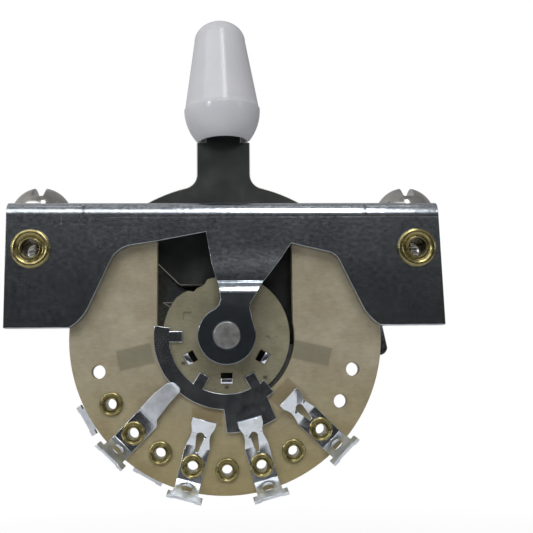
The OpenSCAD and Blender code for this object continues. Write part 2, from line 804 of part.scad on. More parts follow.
module lever_outline() {
    difference() {
        union() {
            translate([-neck_shift, 0]) {
                // fan
                intersection() {
                    circle(r = fan_r);
                    wedge(180 - fan_half, 180 + fan_half);
                }
                // neck and tang
                translate([-neck_w / 2, fan_r - 1])
                    square([neck_w, shoulder_z - fan_r + 1]);
                translate([-tang_w / 2, shoulder_z - 1])
                    square([tang_w, tang_l + 1]);
                neck_fillet();
                mirror([1, 0])
                    neck_fillet();
            }
            // hub and index sector
            circle(r = rear_hub_r + 1.2);
            intersection() {
                circle(r = crest_r);
                wedge(90 + index_dir - swing - 6.5, 180 - fan_half + 5);
            }
        }
        // the five notches of the index edge
        for (i = [-2:2])
            rotate(index_dir + i * notch_step)
                translate([crest_r - notch_depth + notch_r, 0])
                    circle(r = notch_r);
        // the left wing of the fan is cut away below
        polygon([[-30, 4], [-30, 15], [-15.4, 9.8], [-9.1, 9.8], [-7.16, 7.9], [-5.34, 6.1], [-5.02, 5.9], [-2.3, 5.88],
                 [-2.3, 4]]);
        intersection() {
            circle(r = core_r);
            square([2 * core_r + 1, 2 * flat_half], center = true);
        }
    }
}

module lever_plate() {
    color([0.09, 0.1, 0.1])
    plate(lever_y, lever_t)
        lever_outline();
}

// Tip: a bulged foot, a crease, a cone and a round top, hollow at the rim with a socket for the tang
module tip() {
    side_h = tip_h - tip_round_h;
    bulge = tip_r - tip_rim_r;
    foot_r = (pow(bulge, 2) + pow(crease_h, 2)) / (2 * bulge);
    foot_end = asin(crease_h / foot_r);
    foot = arc([tip_r - foot_r, crease_h], foot_r, -foot_end, 0);
    top = [for (i = [0:12]) [tip_top_r * cos(7.5 * i), side_h + tip_round_h * sin(7.5 * i)]];
    color([0.88, 0.89, 0.91])
    translate([-neck_shift, lever_mid_y, tip_z])
        difference() {
            rotate([0, -tip_lean, 0])
                difference() {
                    rotate_extrude()
                        polygon(concat([[0, 0]], foot, [[tip_r - crease_step, crease_h + crease_step]], top));
                    translate([0, 0, -1])
                        cylinder(r = tip_rim_r - tip_wall, h = 2.6);
                }
            translate([-tang_w / 2, -lever_t / 2, -1])
                cube([tang_w, lever_t, shoulder_z + tang_l - tip_z + 1.05]);
        }
}

// A strap between two points of the plane, with round ends
module strap(p, r0, q, r1) {
    d = q - p;
    translate(p)
        rotate(atan2(d[1], d[0])) {
            circle(r = r0);
            translate([norm(d), 0])
                circle(r = r1);
            polygon([[0, -r0], [norm(d), -r1], [norm(d), r1], [0, r0]]);
        }
}

module detent_arm() {
    color([0.45, 0.46, 0.48])
    difference() {
        plate(arm_y, arm_t)
            union() {
                strap([arm_pivot_x, 0], 2.1, roller_at, 1.5);
                strap(roller_at, 1.5, hook_at, 1.25);
            }
        translate([arm_pivot_x, 0, 0])
            bar(arm_pivot_r + running, arm_y - 1, arm_back_y + 1);
        translate([roller_at[0], 0, roller_at[1]])
            bar(roller_pin_r, arm_y - 1, arm_back_y + 1);
        translate([hook_at[0], 0, hook_at[1]])
            bar(hook_hole_r, arm_y - 1, arm_back_y + 1);
    }
}

module detent_roller() {
    color([0.7, 0.71, 0.72])
    translate([roller_at[0], 0, roller_at[1]])
        difference() {
            bar(roller_r, roller_y, roller_y + roller_w);
            bar(roller_pin_r + running, roller_y - 1, roller_y + roller_w + 1);
        }
}

// The roller's pin: a flat head in front, a shoulder before the arm and a peened tail
module roller_pin() {
    color([0.5, 0.5, 0.5])
    translate([roller_at[0], 0, roller_at[1]]) {
        bar(roller_pin_r + 0.3, roller_y - 0.4, roller_y - running);
        bar(roller_pin_r, roller_y - 0.1, arm_back_y + 0.1);
        bar(roller_pin_r + 0.3, roller_y + roller_w + running, arm_y);
        bar(roller_pin_r + 0.25, arm_back_y, arm_back_y + 0.2);
    }
}

// The arm's pivot: a shouldered rivet clenched in the rear leg
module arm_pivot() {
    color([0.5, 0.5, 0.5])
    translate([arm_pivot_x, 0, 0]) {
        bar(arm_pivot_r + 0.8, arm_y - 0.4, arm_y - running);
        bar(arm_pivot_r, arm_y - 0.1, flange_d + 0.1);
        bar(arm_pivot_r + 0.8, arm_back_y + running, rear_leg_y);
        bar(arm_pivot_r + 0.7, flange_d, flange_d + 0.4);
    }
}

// The spring's wire: a hook through the arm, the coil, and a hook through the rear leg.
// Each point is [distance along the axis, offset to the side, offset back].
function spring_points(l, lead) = concat(
    [[1.5, 0, -1.35], [0.95, 0, -1.62], [0.42, 0, -1.5], [0.3, 0, -1.1], [0.3, 0, -0.3],
     [0.5, 0, 0.1], [1.1, coil_r * 0.25, 0.15], [lead - 0.5, coil_r * 0.8, 0.05]],
    [for (i = [0:coil_turns * 12])
        [lead + (l - 2 * lead) * i / (coil_turns * 12), coil_r * cos(i * 30), coil_r * sin(i * 30)]],
    [[l - lead + 0.5, coil_r * 0.8, 0.05], [l - 1.1, coil_r * 0.25, 0.4], [l - 0.4, 0, 1],
     [l - 0.3, 0, 1.6], [l - 0.3, 0, 2.9], [l - 0.5, 0, 3.3], [l - 1, 0, 3.5], [l - 1.6, 0, 3.2]]);

module detent_spring() {
    run = anchor_at - hook_at;
    p = spring_points(norm(run), 2.6);
    n = len(p);
    sides = 6;
    function unit(v) = v / norm(v);
    function along(i) = unit(p[min(i + 1, n - 1)] - p[max(i - 1, 0)]);
    function outward(i) =
        let (q = [0, p[i][1], p[i][2]],
             coil = i >= 8 && i < n - 8,
             ref = coil ? q : [0, 1, 0],
             t = along(i))
        unit(ref - (ref * t) * t);
    rings = [for (i = [0:n - 1])
        let (t = along(i), u = outward(i), v = cross(t, u))
        for (k = [0:sides - 1])
            p[i] + wire_r * (cos(360 * k / sides) * u + sin(360 * k / sides) * v)];
    walls = [for (i = [0:n - 2], k = [0:sides - 1])
        [i * sides + k, i * sides + (k + 1) % sides, (i + 1) * sides + (k + 1) % sides,
         (i + 1) * sides + k]];
    ends = [[for (k = [sides - 1:-1:0]) k], [for (k = [0:sides - 1]) (n - 1) * sides + k]];
    color([0.75, 0.76, 0.78])
    translate([hook_at[0], spring_y, hook_at[1]])
        rotate([0, -atan2(run[1], run[0]), 0])
            multmatrix([[1, 0, 0, 0], [0, 0, 1, 0], [0, 1, 0, 0]])
                polyhedron(points = rings, faces = concat(walls, ends));
}

// Moves the assembly from the shaft to the row frame
module place() {
    translate([0, -screw_setback, -shaft_drop])
        children();
}

place() frame();
place() wing_eyelet(-1);  // wing_eyelet_left
place() wing_eyelet(1);  // wing_eyelet_right
place() panel_screw(-1);  // panel_screw_left
place() panel_screw(1);  // panel_screw_right
place() stator_wafer();
place() front_clip(0);  // front_common_clip
place() front_clip(1);  // front_clip_1
place() front_clip(2);  // front_clip_2
place() front_clip(3);  // front_clip_3
place() rear_clip(0);  // rear_common_clip
place() rear_clip(1);  // rear_clip_1
place() rear_clip(2);  // rear_clip_2
place() rear_clip(3);  // rear_clip_3
place() front_rivet(0);  // front_common_rivet
place() front_rivet(1);  // front_rivet_1
place() front_rivet(2);  // front_rivet_2
place() front_rivet(3);  // front_rivet_3
place() rear_rivet(0);  // rear_common_rivet
place() rear_rivet(1);  // rear_rivet_1
place() rear_rivet(2);  // rear_rivet_2
place() rear_rivet(3);  // rear_rivet_3
place() rotor_disc();
place() front_ring();
place() rear_ring();
place() shaft();
place() rotor_spacer();
place() lever_plate();
place() tip();
place() detent_arm();
place() detent_roller();
place() roller_pin();
place() arm_pivot();
place() detent_spring();
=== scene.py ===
import json
from math import radians

import bmesh
import bpy
import numpy as np
from mathutils import Matrix, Vector

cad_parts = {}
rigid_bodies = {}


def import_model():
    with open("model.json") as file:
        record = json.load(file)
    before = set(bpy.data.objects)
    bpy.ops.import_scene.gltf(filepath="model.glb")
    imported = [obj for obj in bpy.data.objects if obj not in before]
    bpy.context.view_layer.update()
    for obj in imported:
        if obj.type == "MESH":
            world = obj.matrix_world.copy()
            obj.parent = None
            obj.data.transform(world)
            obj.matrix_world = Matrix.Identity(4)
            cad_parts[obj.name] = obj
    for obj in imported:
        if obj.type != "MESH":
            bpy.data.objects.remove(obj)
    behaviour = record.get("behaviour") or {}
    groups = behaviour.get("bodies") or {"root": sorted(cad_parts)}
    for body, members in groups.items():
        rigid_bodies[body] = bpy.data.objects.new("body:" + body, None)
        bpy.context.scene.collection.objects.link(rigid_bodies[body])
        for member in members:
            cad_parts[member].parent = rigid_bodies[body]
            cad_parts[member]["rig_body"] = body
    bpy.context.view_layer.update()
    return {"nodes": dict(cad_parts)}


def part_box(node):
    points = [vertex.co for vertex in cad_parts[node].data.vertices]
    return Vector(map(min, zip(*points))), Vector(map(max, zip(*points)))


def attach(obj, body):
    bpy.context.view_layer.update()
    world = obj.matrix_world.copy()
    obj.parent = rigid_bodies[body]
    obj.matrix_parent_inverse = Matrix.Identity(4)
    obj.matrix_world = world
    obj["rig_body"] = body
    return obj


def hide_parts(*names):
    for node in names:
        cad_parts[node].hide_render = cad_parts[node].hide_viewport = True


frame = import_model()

# The frame: one blank of 1.27 mm steel, pierced, folded twice into a channel with a joggled tongue
# in front and a leg behind, then zinc plated. The plate is smooth and grey blue, and mottled a little
# along the flange by the rolling of the sheet.
shaft_z = sum(corner.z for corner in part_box("shaft")) / 2
merge_within, flat_within, sharp_over = 1.5e-6, radians(0.6), radians(32)


def softened(node, piece, edge, steps=2):
    """A copy of a node's solid with broken edges: doubles merged, flat triangles joined into whole faces,
    then every edge that turns more than sharp_over is rounded over a width of edge metres. Normals are
    weighted by the faces' areas, so that the flats stay flat up to their edges."""
    mesh = frame["nodes"][node].data.copy()
    mesh.name = piece
    mesh.materials.clear()
    shell = bmesh.new()
    shell.from_mesh(mesh)
    bmesh.ops.remove_doubles(shell, verts=shell.verts, dist=merge_within)
    bmesh.ops.dissolve_limit(shell, angle_limit=flat_within, verts=shell.verts, edges=shell.edges)
    for face in shell.faces:
        face.smooth = True
    shell.to_mesh(mesh)
    shell.free()
    made = bpy.data.objects.new(piece, mesh)
    bpy.context.scene.collection.objects.link(made)
    bevel = made.modifiers.new("broken_edges", "BEVEL")
    bevel.width = edge
    bevel.segments = steps
    bevel.limit_method = "ANGLE"
    bevel.angle_limit = sharp_over
    bevel.use_clamp_overlap = False
    flats = made.modifiers.new("flats_stay_flat", "WEIGHTED_NORMAL")
    flats.weight = 95
    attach(made, frame["nodes"][node]["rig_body"])
    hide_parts(node)
    return made


def finish(name, colour, **sockets):
    """A finish with one Principled shader, whose sockets get these constant values."""
    made = bpy.data.materials.new(name)
    made.use_nodes = True
    shader = made.node_tree.nodes["Principled BSDF"]
    shader.inputs["Base Color"].default_value = (*colour, 1)
    for socket, value in sockets.items():
        shader.inputs[socket.replace("_", " ").title().replace("Ior", "IOR")].default_value = value
    return made


def add(material, kind, inputs=(), **settings):
    """Adds a shader node. inputs is (socket, constant value or the output that feeds it) pairs."""
    made = material.node_tree.nodes.new("ShaderNode" + kind)
    for name, value in settings.items():
        setattr(made, name, value)
    for socket, value in inputs:
        if isinstance(value, bpy.types.NodeSocket):
            material.node_tree.links.new(value, made.inputs[socket])
        else:
            made.inputs[socket].default_value = value
    return made


def place(material):
    """The Object coordinates of a finish, in metres."""
    return add(material, "TexCoord").outputs["Object"]


def grain(material, size, stretch=(1, 1, 1), detail=3.0, rough=0.5):
    """Noise between 0 and 1 whose spots are size metres across, drawn out by stretch along x, y and z."""
    scaled = add(material, "Mapping", [("Vector", place(material)), ("Scale", tuple(1 / s for s in stretch))])
    noise = add(material, "TexNoise", [("Vector", scaled.outputs["Vector"]), ("Scale", 1 / size),
                                       ("Detail", detail), ("Roughness", rough)])
    return noise.outputs["Fac"]


def graded(material, value, *stops):
    """A colour ramp over value. Each stop is (position, colour), the colour three linear values."""
    ramp = add(material, "ValToRGB", [("Fac", value)])
    points = ramp.color_ramp.elements
    while len(points) < len(stops):
        points.new(0.5)
    for point, (position, colour) in zip(points, stops):
        point.position = position
        point.color = (*colour, 1)
    return ramp.outputs["Color"]


def spread(material, value, low, high):
    """Carries a value from 0..1 to low..high."""
    made = add(material, "MapRange", [("Value", value), ("To Min", low), ("To Max", high)])
    return made.outputs["Result"]


def mixed(material, amount, first, second, blend="MIX"):
    """Mixes two colours by amount."""
    made = add(material, "Mix", data_type="RGBA", blend_type=blend)
    for socket, value in ((0, amount), (6, first), (7, second)):
        if isinstance(value, bpy.types.NodeSocket):
            material.node_tree.links.new(value, made.inputs[socket])
        else:
            made.inputs[socket].default_value = value if socket == 0 else (*value, 1)
    return made.outputs[2]


def feed(material, socket, value):
    """Links an output to a socket of the finish's shader."""
    material.node_tree.links.new(value, material.node_tree.nodes["Principled BSDF"].inputs[socket])


def relief(material, height, depth):
    """Bump of this depth in metres from a height between 0 and 1."""
    bump = add(material, "Bump", [("Height", height), ("Distance", depth), ("Strength", 1.0)])
    feed(material, "Normal", bump.outputs["Normal"])


def times(material, first, second):
    """The product of two values."""
    return add(material, "Math", [(0, first), (1, second)], operation="MULTIPLY").outputs[0]


def stepped(material, value, start, end, **settings):
    """0 before start, 1 past end, and a straight line between, or the curve that settings name."""
    made = add(material, "MapRange", [("Value", value), ("From Min", start), ("From Max", end)], **settings)
    return made.outputs["Result"]


def along(material, axis):
    """The Object coordinate along one axis, in metres."""
    return add(material, "SeparateXYZ", [("Vector", place(material))]).outputs[axis]


def patch(material, centre, turn, half_x, half_z, soft):
    """1 inside a turned rectangle about centre (x, z) and 0 outside, eased over soft metres."""
    moved = add(material, "Mapping", [("Vector", place(material)), ("Location", (-centre[0], 0, -centre[1]))])
    turned_to = add(material, "Mapping", [("Vector", moved.outputs["Vector"]), ("Rotation", (0, turn, 0))])
    axes = add(material, "SeparateXYZ", [("Vector", turned_to.outputs["Vector"])])
    inside = []
    for axis, half in (("X", half_x), ("Z", half_z)):
        away = add(material, "Math", [(0, axes.outputs[axis])], operation="ABSOLUTE").outputs[0]
        inside.append(stepped(material, away, half + soft / 2, half - soft / 2,
                              interpolation_type="SMOOTHSTEP"))
    return times(material, *inside)


def from_shaft(material):
    """The distance from the shaft's axis, in metres."""
    about = add(material, "Mapping", [("Vector", place(material)), ("Location", (0, 0, -shaft_z)),
                                      ("Scale", (1, 0, 1))])
    return add(material, "VectorMath", [(0, about.outputs["Vector"])], operation="LENGTH").outputs["Value"]


def coated(piece, material):
    """Gives a piece its one finish."""
    piece.data.materials.clear()
    piece.data.materials.append(material)


zinc = finish("zinc_plate", (0.2, 0.215, 0.245), metallic=1.0)
cloud = grain(zinc, 0.0035, detail=4)
mottle = grain(zinc, 0.00035, stretch=(1.5, 1, 1), detail=4, rough=0.65)
fine = grain(zinc, 0.00009, detail=2)
feed(zinc, "Roughness", spread(zinc, mixed(zinc, 0.5, cloud, mottle), 0.1, 0.22))
tint = graded(zinc, cloud, (0.3, (0.35, 0.385, 0.43)), (0.55, (0.43, 0.47, 0.52)), (0.75, (0.53, 0.56, 0.59)))
tint = mixed(zinc, 0.5, tint, graded(zinc, mottle, (0.33, (0.22, 0.255, 0.31)), (0.67, (0.73, 0.755, 0.77))))

# The end of the tongue round the shaft is painted darker than the rest: painted shade for the dark reflection
# this flat shows.
boss_shade = times(zinc, stepped(zinc, from_shaft(zinc), 0.0036, 0.003),
             stepped(zinc, along(zinc, "Y"), -0.0062, -0.0066))
tint = mixed(zinc, boss_shade, tint, (0.3, 0.345, 0.39))

# Two dents in the fold, painted dark as shade, a bright scribed line, and the faint groove that the fold
# leaves under it.
# Each is x, z, half its size along x and z, the width of its soft edge, and its colour if it has one.
dent_shade, scratch = (0.07, 0.075, 0.085), (0.85, 0.87, 0.88)
marks = mixed(zinc, 0.5, mottle, fine)
for x, z, half_x, half_z, soft, colour in (
        (-0.0152, -0.001, 0.00014, 0.0006, 0.0005, dent_shade),
        (0.0152, -0.001, 0.00014, 0.0006, 0.0005, dent_shade),
        (-0.01752, -0.00215, 0.00005, 0.00045, 0.00008, scratch),
        (0.0052, -0.00174, 0.018, 0.00004, 0.0001, None)):
    mark = patch(zinc, (x, z), 0, half_x, half_z, soft)
    marks = mixed(zinc, mark, marks, (0, 0, 0))
    if colour:
        tint = mixed(zinc, times(zinc, mark, 0.7), tint, colour)
feed(zinc, "Base Color", tint)
relief(zinc, marks, 0.000012)
coated(softened("frame", "frame_stamping", 0.00007, 3), zinc)

# The wing eyelets: brass tubes with a spun flange, put through the wings and the wafer and rolled
# over behind. The flange is dished between its raised rim and the rolled lip round the bore.
sheet_t, wafer_t, clip_t = 0.00127, 0.0016, 0.0003
wing_bore, wing_barrel = 0.00097, 0.00125


def carried(rings, piece, close_loop=True):
    """A closed surface through rings of points, an array (rings, points, 3): the points of a ring follow
    each other round, and the rings follow each other along, round again where close_loop is true."""
    count, around, _ = rings.shape
    ring = np.arange(count if close_loop else count - 1)[:, None]
    point = np.arange(around)[None, :]
    after, beside = (ring + 1) % count, (point + 1) % around
    faces = np.stack([ring * around + point, ring * around + beside,
                      after * around + beside, after * around + point], axis=-1).reshape(-1, 4)
    mesh = bpy.data.meshes.new(piece)
    mesh.from_pydata(rings.reshape(-1, 3), [], faces)
    shell = bmesh.new()
    shell.from_mesh(mesh)
    if not close_loop:
        bmesh.ops.holes_fill(shell, edges=[e for e in shell.edges if e.is_boundary])
    bmesh.ops.remove_doubles(shell, verts=shell.verts, dist=1e-7)
    bmesh.ops.recalc_face_normals(shell, faces=shell.faces)
    for face in shell.faces:
        face.smooth = True
    shell.to_mesh(mesh)
    shell.free()
    made = bpy.data.objects.new(piece, mesh)
    bpy.context.scene.collection.objects.link(made)
    return made


def smooth_loop(corners, count):
    """count points of a smooth closed curve through the corners: a Catmull-Rom spline, each stretch a
    cubic whose slope at a corner is half the step between its neighbours."""
    corners = np.asarray(corners, float)
    t = np.linspace(0, len(corners), count, endpoint=False)
    i = t.astype(int)
    f = (t - i)[:, None]
    a, b, c, d = (corners[(i + step) % len(corners)] for step in (-1, 0, 1, 2))
    return 0.5 * (2 * b + (c - a) * f + (2 * a - 5 * b + 4 * c - d) * f ** 2
                  + (3 * b - a - 3 * c + d) * f ** 3)


def turned(section, centre, piece, turns=72, waver=0.0015):
    """A ring turned about an axis along y through centre: section is the closed line of its wall,
    (radius, y) pairs. Each radius wavers by a share that three slow waves round the ring add up to."""
    angle = np.linspace(0, 2 * np.pi, turns, endpoint=False)
    sway = 1 + waver * (np.sin(3 * angle) + 0.6 * np.sin(5 * angle + 1) + 0.4 * np.sin(11 * angle + 2))
    radius = section[:, 0][:, None] * sway[None, :]
    points = np.stack([centre[0] + radius * np.cos(angle), np.repeat(section[:, 1][:, None], turns, 1),
                       centre[2] + radius * np.sin(angle)], axis=-1)
    return carried(points, piece)


def rolled_eyelet(node, piece, bore, barrel, grip, tail_share, ring_share):
    """A rolled eyelet in the place of a node. Its section goes up the bore, over the thin rolled lip,
    down to the flat floor beside it, over the flange's swollen ring, back under the flange to the barrel,
    and round the clenched tail. ring_share is the part of the flange that the flat floor takes."""
    low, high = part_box(node)
    flange = (high.x - low.x) / 2
    wall = barrel - bore
    lip, far = low.y, high.y
    face = far - grip - 1.25 * wall
    tail = barrel + (flange - barrel) * tail_share
    floor_at = barrel + ring_share * (flange - barrel)
    corners = [(bore, face + grip), (bore, face), (bore + 0.02 * wall, lip + 0.4 * wall),
               (bore + 0.25 * wall, lip), (bore + 0.5 * wall, lip + 0.3 * wall),
               (bore + 0.62 * wall, lip + 0.98 * wall), (bore + 0.8 * wall, lip + 1.1 * wall),
               (floor_at, lip + 1.08 * wall), (floor_at + 0.35 * wall, lip + 0.8 * wall),
               ((floor_at + flange) / 2, lip + 0.42 * wall), (flange - 0.35 * wall, lip + 0.62 * wall),
               (flange - 0.05 * wall, lip + 0.95 * wall), (flange, face - 0.3 * wall),
               (flange - 0.5 * wall, face - 0.02 * wall), (barrel + 0.3 * wall, face),
               (barrel, face + 0.2 * wall), (barrel, face + grip - 0.2 * wall),
               (barrel + 0.5 * wall, face + grip + 0.02 * wall),
               (tail, face + grip + 0.1 * wall), (tail + 0.1 * wall, face + grip + 0.6 * wall),
               (barrel, far - 0.05 * wall), (bore + 0.5 * wall, far),
               (bore + 0.08 * wall, far - 0.4 * wall)]
    centre = ((low.x + high.x) / 2, 0, (low.z + high.z) / 2)
    made = turned(smooth_loop(corners, 96), centre, piece)
    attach(made, "switch_frame")
    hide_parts(node)
    return made


brass = finish("rolled_brass", (0.42, 0.36, 0.18), metallic=1.0)
tarnish = grain(brass, 0.0006, detail=4)
feed(brass, "Base Color", graded(brass, tarnish, (0.3, (0.19, 0.16, 0.07)), (0.55, (0.29, 0.25, 0.115)),
                                 (0.75, (0.43, 0.38, 0.2))))
feed(brass, "Roughness", spread(brass, tarnish, 0.16, 0.34))
relief(brass, grain(brass, 0.00008, detail=2), 0.000002)
for side in ("left", "right"):
    coated(rolled_eyelet(f"wing_eyelet_{side}", f"rolled_wing_eyelet_{side}", wing_bore, wing_barrel,
                         sheet_t + wafer_t, tail_share=0.45, ring_share=0.12), brass)

# The panel screws: number 6 machine screws with 32 threads to the inch, cold headed to a low dome,
# slotted, thread rolled and nickel plated. The nickel is a little warm, and the slot's lips are round.
head_slot, slot_depth, slot_lip = 0.00115, 0.00135, 0.00012
thread_pitch, thread_crest, shank_top, screw_end = 0.0254 / 32, 0.00175, -0.00005, 0.0005


def joined(objects, piece):
    """One mesh object out of several closed ones."""
    shell = bmesh.new()
    for part in objects:
        shell.from_mesh(part.data)
        bpy.data.objects.remove(part)
    mesh = bpy.data.meshes.new(piece)
    shell.to_mesh(mesh)
    shell.free()
    made = bpy.data.objects.new(piece, mesh)
    bpy.context.scene.collection.objects.link(made)
    return made


def eased(value):
    """0 below 0, 1 above 1, and the smooth cubic step between."""
    value = np.clip(value, 0, 1)
    return value * value * (3 - 2 * value)


def slotted_dome(centre, radius, height):
    """The head. Over a disc of columns x and lengths y it stands as high as a sphere's cap, and inside
    the slot it sinks to the floor along an eased wall; the flat underside closes each column."""
    ball = (radius ** 2 + height ** 2) / (2 * height)
    wall = head_slot / 2 + slot_lip * np.linspace(-1, 1, 9)
    outer = radius * np.sin(np.linspace(np.arcsin(wall[-1] / radius), np.pi / 2, 22))[1:]
    right = np.concatenate([np.linspace(0, wall[0], 4)[:-1], wall, outer])
    x = np.concatenate([-right[:0:-1], right])[:, None]
    y = np.sin(np.linspace(-np.pi / 2, np.pi / 2, 45))[None, :] * np.sqrt(np.maximum(radius ** 2 - x ** 2, 0))
    dome = np.sqrt(np.maximum(ball ** 2 - x ** 2 - y ** 2, 0)) - (ball - height)
    sunk = eased((head_slot / 2 + slot_lip - np.abs(x)) / (2 * slot_lip))
    top = dome * (1 - sunk) + np.minimum(dome, height - slot_depth) * sunk
    over = np.stack([np.broadcast_to(x, y.shape), y, top], axis=-1)
    under = over[:, -2:0:-1] * (1, 1, 0)
    return carried(np.concatenate([over, under], axis=1) + (*centre, 0), "dome", close_loop=False)


def threaded_shank(centre, bottom):
    """The shank. Its radius rises and falls once each pitch along z and once round each turn, between
    flats an eighth of the pitch long, and the last half millimetre is chamfered."""
    depth = 0.61 * thread_pitch
    z = np.linspace(shank_top, bottom, int((shank_top - bottom) / thread_pitch * 12))[:, None]
    angle = np.linspace(0, 2 * np.pi, 48, endpoint=False)[None, :]
    phase = (z / thread_pitch - angle / (2 * np.pi)) % 1
    ridge = np.clip((1 - 2 * np.abs(phase - 0.5) - 0.125) / 0.75, 0, 1)
    radius = np.minimum(thread_crest - depth + depth * ridge, thread_crest - screw_end + (z - bottom))
    radius[0], radius[-1] = 0, 0
    rings = np.stack([centre[0] + radius * np.cos(angle), centre[1] + radius * np.sin(angle),
                      np.broadcast_to(z, radius.shape)], axis=-1)
    return carried(rings, "shank", close_loop=False)


nickel = finish("warm_nickel", (0.55, 0.53, 0.49), metallic=1.0)
cast = grain(nickel, 0.0012, detail=4)
feed(nickel, "Base Color", graded(nickel, cast, (0.3, (0.36, 0.35, 0.33)), (0.6, (0.46, 0.45, 0.43)),
                                  (0.8, (0.55, 0.54, 0.52))))
feed(nickel, "Roughness", spread(nickel, cast, 0.1, 0.22))
relief(nickel, grain(nickel, 0.00012), 0.000003)
for side in ("left", "right"):
    low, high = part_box(f"panel_screw_{side}")
    axis = ((low.x + high.x) / 2, (low.y + high.y) / 2)
    screw = joined([slotted_dome(axis, (high.x - low.x) / 2, high.z), threaded_shank(axis, low.z)],
                   f"round_head_screw_{side}")
    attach(screw, "switch_frame")
    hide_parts(f"panel_screw_{side}")
    coated(screw, nickel)

# The wafer: a punched board of paper and resin, 1.6 mm thick, with two ears under the wings. Light
# comes a little way through it. It is greyer above and yellower below, painted shadows of the parts behind
# it lie on both sides of the rotor, and darker brown patches lie beside two of the clips.


def board(name, dark, middle, light, **sockets):
    """A laminated board: three tones clouded at two sizes, with fine fibres and a soft gloss."""
    made = finish(name, middle, **sockets)
    clouds = grain(made, 0.0028, detail=5, rough=0.6)
    fibres = grain(made, 0.00022, stretch=(3, 1, 1), detail=3)
    tone = graded(made, clouds, (0.3, dark), (0.52, middle), (0.74, light))
    flecks = graded(made, fibres, (0.25, dark), (0.5, middle), (0.8, light))
    feed(made, "Roughness", spread(made, fibres, 0.34, 0.56))
    relief(made, mixed(made, 0.6, clouds, fibres), 0.000006)
    return made, mixed(made, 0.35, tone, flecks)


tan_board, tan = board("tan_board", (0.25, 0.21, 0.135), (0.32, 0.285, 0.2), (0.4, 0.36, 0.265),
                       subsurface_weight=0.25, subsurface_radius=(0.0016, 0.0012, 0.0006))
lower = stepped(tan_board, along(tan_board, "Z"), shaft_z - 0.002, shaft_z - 0.015)
tan = mixed(tan_board, lower, tan, mixed(tan_board, 1.0, tan, (0.92, 0.86, 0.6), "MULTIPLY"))
# A painted shadow: the parts behind the wafer, seen through it on both sides of the rotor.
shadow = (0.13, 0.125, 0.08)

# Each patch is x, z from the shaft, its turn in degrees, half its sizes, its strength and its colour.
for x, z, turn, half_x, half_z, amount, colour in (
        (-0.0097, -0.0021, 13, 0.0019, 0.0011, 0.6, shadow),
        (0.0089, -0.0018, -13, 0.0023, 0.001, 0.6, shadow),
        (-0.0021, -0.0085, 0, 0.0016, 0.001, 0.55, (0.19, 0.135, 0.055)),
        (0.0061, -0.0061, 45, 0.0015, 0.0009, 0.55, (0.18, 0.13, 0.055))):
    shade = patch(tan_board, (x, shaft_z + z), radians(turn), half_x, half_z, 0.0003)
    tan = mixed(tan_board, times(tan_board, shade, amount), tan, colour)
feed(tan_board, "Base Color", tan)
coated(softened("stator_wafer", "punched_wafer", 0.00007), tan_board)

# The clips: spring brass pierced and bent on one strip, silver plated. Each is riveted by its base,
# bends near the wafer's edge into a solder lug that leans away, and reaches in to press on a ring.
# The lugs are satin, and so are the arms of the two common clips.
lug_from, lug_whole, arm_from, arm_whole = 0.0155, 0.0161, 0.0122, 0.0114
silver = finish("silver_plate", (0.68, 0.69, 0.71), metallic=1.0)
dull = grain(silver, 0.0011, detail=4)
brushed = grain(silver, 0.00009, stretch=(1, 1, 8), detail=2)
feed(silver, "Base Color", graded(silver, dull, (0.28, (0.56, 0.59, 0.62)), (0.5, (0.72, 0.76, 0.82)),
                                  (0.8, (0.83, 0.86, 0.91))))
relief(silver, mixed(silver, 0.5, dull, brushed), 0.000006)


def satin_where(material, shine, *spans):
    """Dulls a finish as its distance from the shaft's axis goes from the start to the end of any span."""
    dulled = 0.0
    for start, end in spans:
        step = stepped(material, from_shaft(material), start, end)
        dulled = add(material, "Math", [(0, dulled), (1, step)], operation="MAXIMUM").outputs[0]
    feed(material, "Roughness", mixed(material, dulled, shine, (0.36, 0.36, 0.36)))


worn_silver = silver.copy()
worn_silver.name = "worn_silver_plate"
satin_where(silver, spread(silver, mixed(silver, 0.4, dull, brushed), 0.07, 0.2), (lug_from, lug_whole))
satin_where(worn_silver, spread(worn_silver, grain(worn_silver, 0.0011, detail=4), 0.07, 0.2),
            (lug_from, lug_whole), (arm_from, arm_whole))
for node in [name for name in frame["nodes"] if "_clip" in name]:
    coated(softened(node, node.replace("clip", "spring_clip"), 0.00005),
           worn_silver if "common" in node else silver)

# The small eyelets that rivet the clips to the wafer: the same brass, spun and rolled in the same way,
# with a wider flat floor between the lip and the flange's ring, and the bore left open.
rivet_bore, rivet_barrel = 0.00056, 0.00074
for node in [name for name in frame["nodes"] if "_rivet" in name]:
    coated(rolled_eyelet(node, node.replace("rivet", "rolled_rivet"), rivet_bore, rivet_barrel,
                         wafer_t + clip_t, tail_share=0.36, ring_share=0.3), brass)

# The rotor: a disc of the same board in an olive tint, turned by the shaft's flats. A stretch of its
# rim is chipped, six slots take the ring tabs, and small prick marks are left by its jig.
olive_board, olive = board("olive_board", (0.14, 0.13, 0.08), (0.2, 0.185, 0.118), (0.28, 0.265, 0.19),
                           subsurface_weight=0.15, subsurface_radius=(0.001, 0.0008, 0.0004))
prick_half_x, prick_half_z, prick_soft = 0.00022, 0.00016, 0.0002
for x, z in ((-0.0046, -0.0028), (0, -0.0054), (0.0041, -0.0044)):
    prick = patch(olive_board, (x, shaft_z + z), 0, prick_half_x, prick_half_z, prick_soft)
    olive = mixed(olive_board, prick, olive, (0.05, 0.04, 0.025))
feed(olive_board, "Base Color", olive)
coated(softened("rotor_disc", "slotted_rotor", 0.00006), olive_board)

# The shorting rings: silver-plated brass, one on each face of the rotor, each held by three tabs that
# pass through slots. The blade is the wide stretch that meets the throw clips.
for node in ("front_ring", "rear_ring"):
    coated(softened(node, f"plated_{node}", 0.00005), silver)

